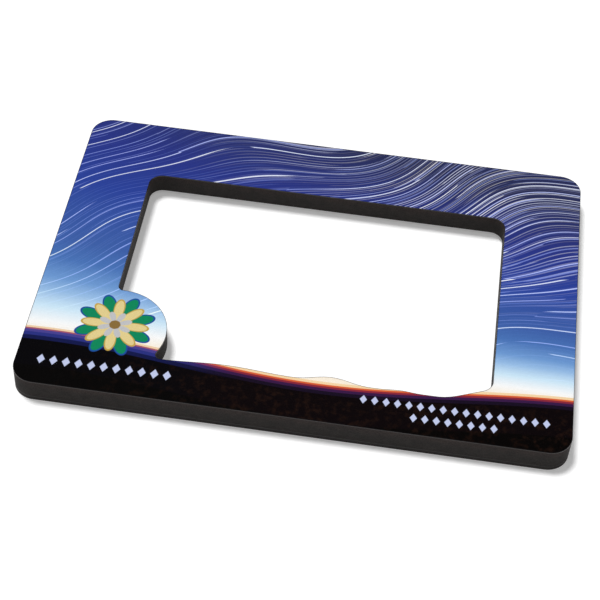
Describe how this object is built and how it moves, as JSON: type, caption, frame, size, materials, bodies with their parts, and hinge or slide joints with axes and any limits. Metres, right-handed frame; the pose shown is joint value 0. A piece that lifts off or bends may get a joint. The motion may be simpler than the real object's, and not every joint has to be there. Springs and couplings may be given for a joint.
{
  "type": "magnetic photo frame",
  "caption": "Flat landscape foam frame with a printed glossy face, a contour-cut open window and flexible magnet strips on its back.",
  "frame": {"origin": "centre of the back, on the plane of the magnet faces", "axes": "+X along the width, +Y along the height, +Z out of the printed face"},
  "size_m": [0.1524, 0.108, 0.0074],
  "materials": {
    "eva_foam": "black closed-cell foam, die-cut matte walls",
    "clear_adhesive": "clear pressure-sensitive adhesive",
    "printed_film": "full-colour print on plastic film",
    "clear_film": "glossy clear film over the print",
    "flexible_magnet": "matte dark brown ferrite-filled rubber",
    "strip_adhesive": "pale pressure-sensitive adhesive"
  },
  "bodies": {
    "root": {"foam_core": "eva_foam", "face_adhesive": "clear_adhesive", "print_film": "printed_film", "clear_overlaminate": "clear_film", "magnet_top": "flexible_magnet", "magnet_bottom": "flexible_magnet", "magnet_left": "flexible_magnet", "magnet_right": "flexible_magnet", "magnet_adhesive_top": "strip_adhesive", "magnet_adhesive_bottom": "strip_adhesive", "magnet_adhesive_left": "strip_adhesive", "magnet_adhesive_right": "strip_adhesive"}
  },
  "joints": []
}
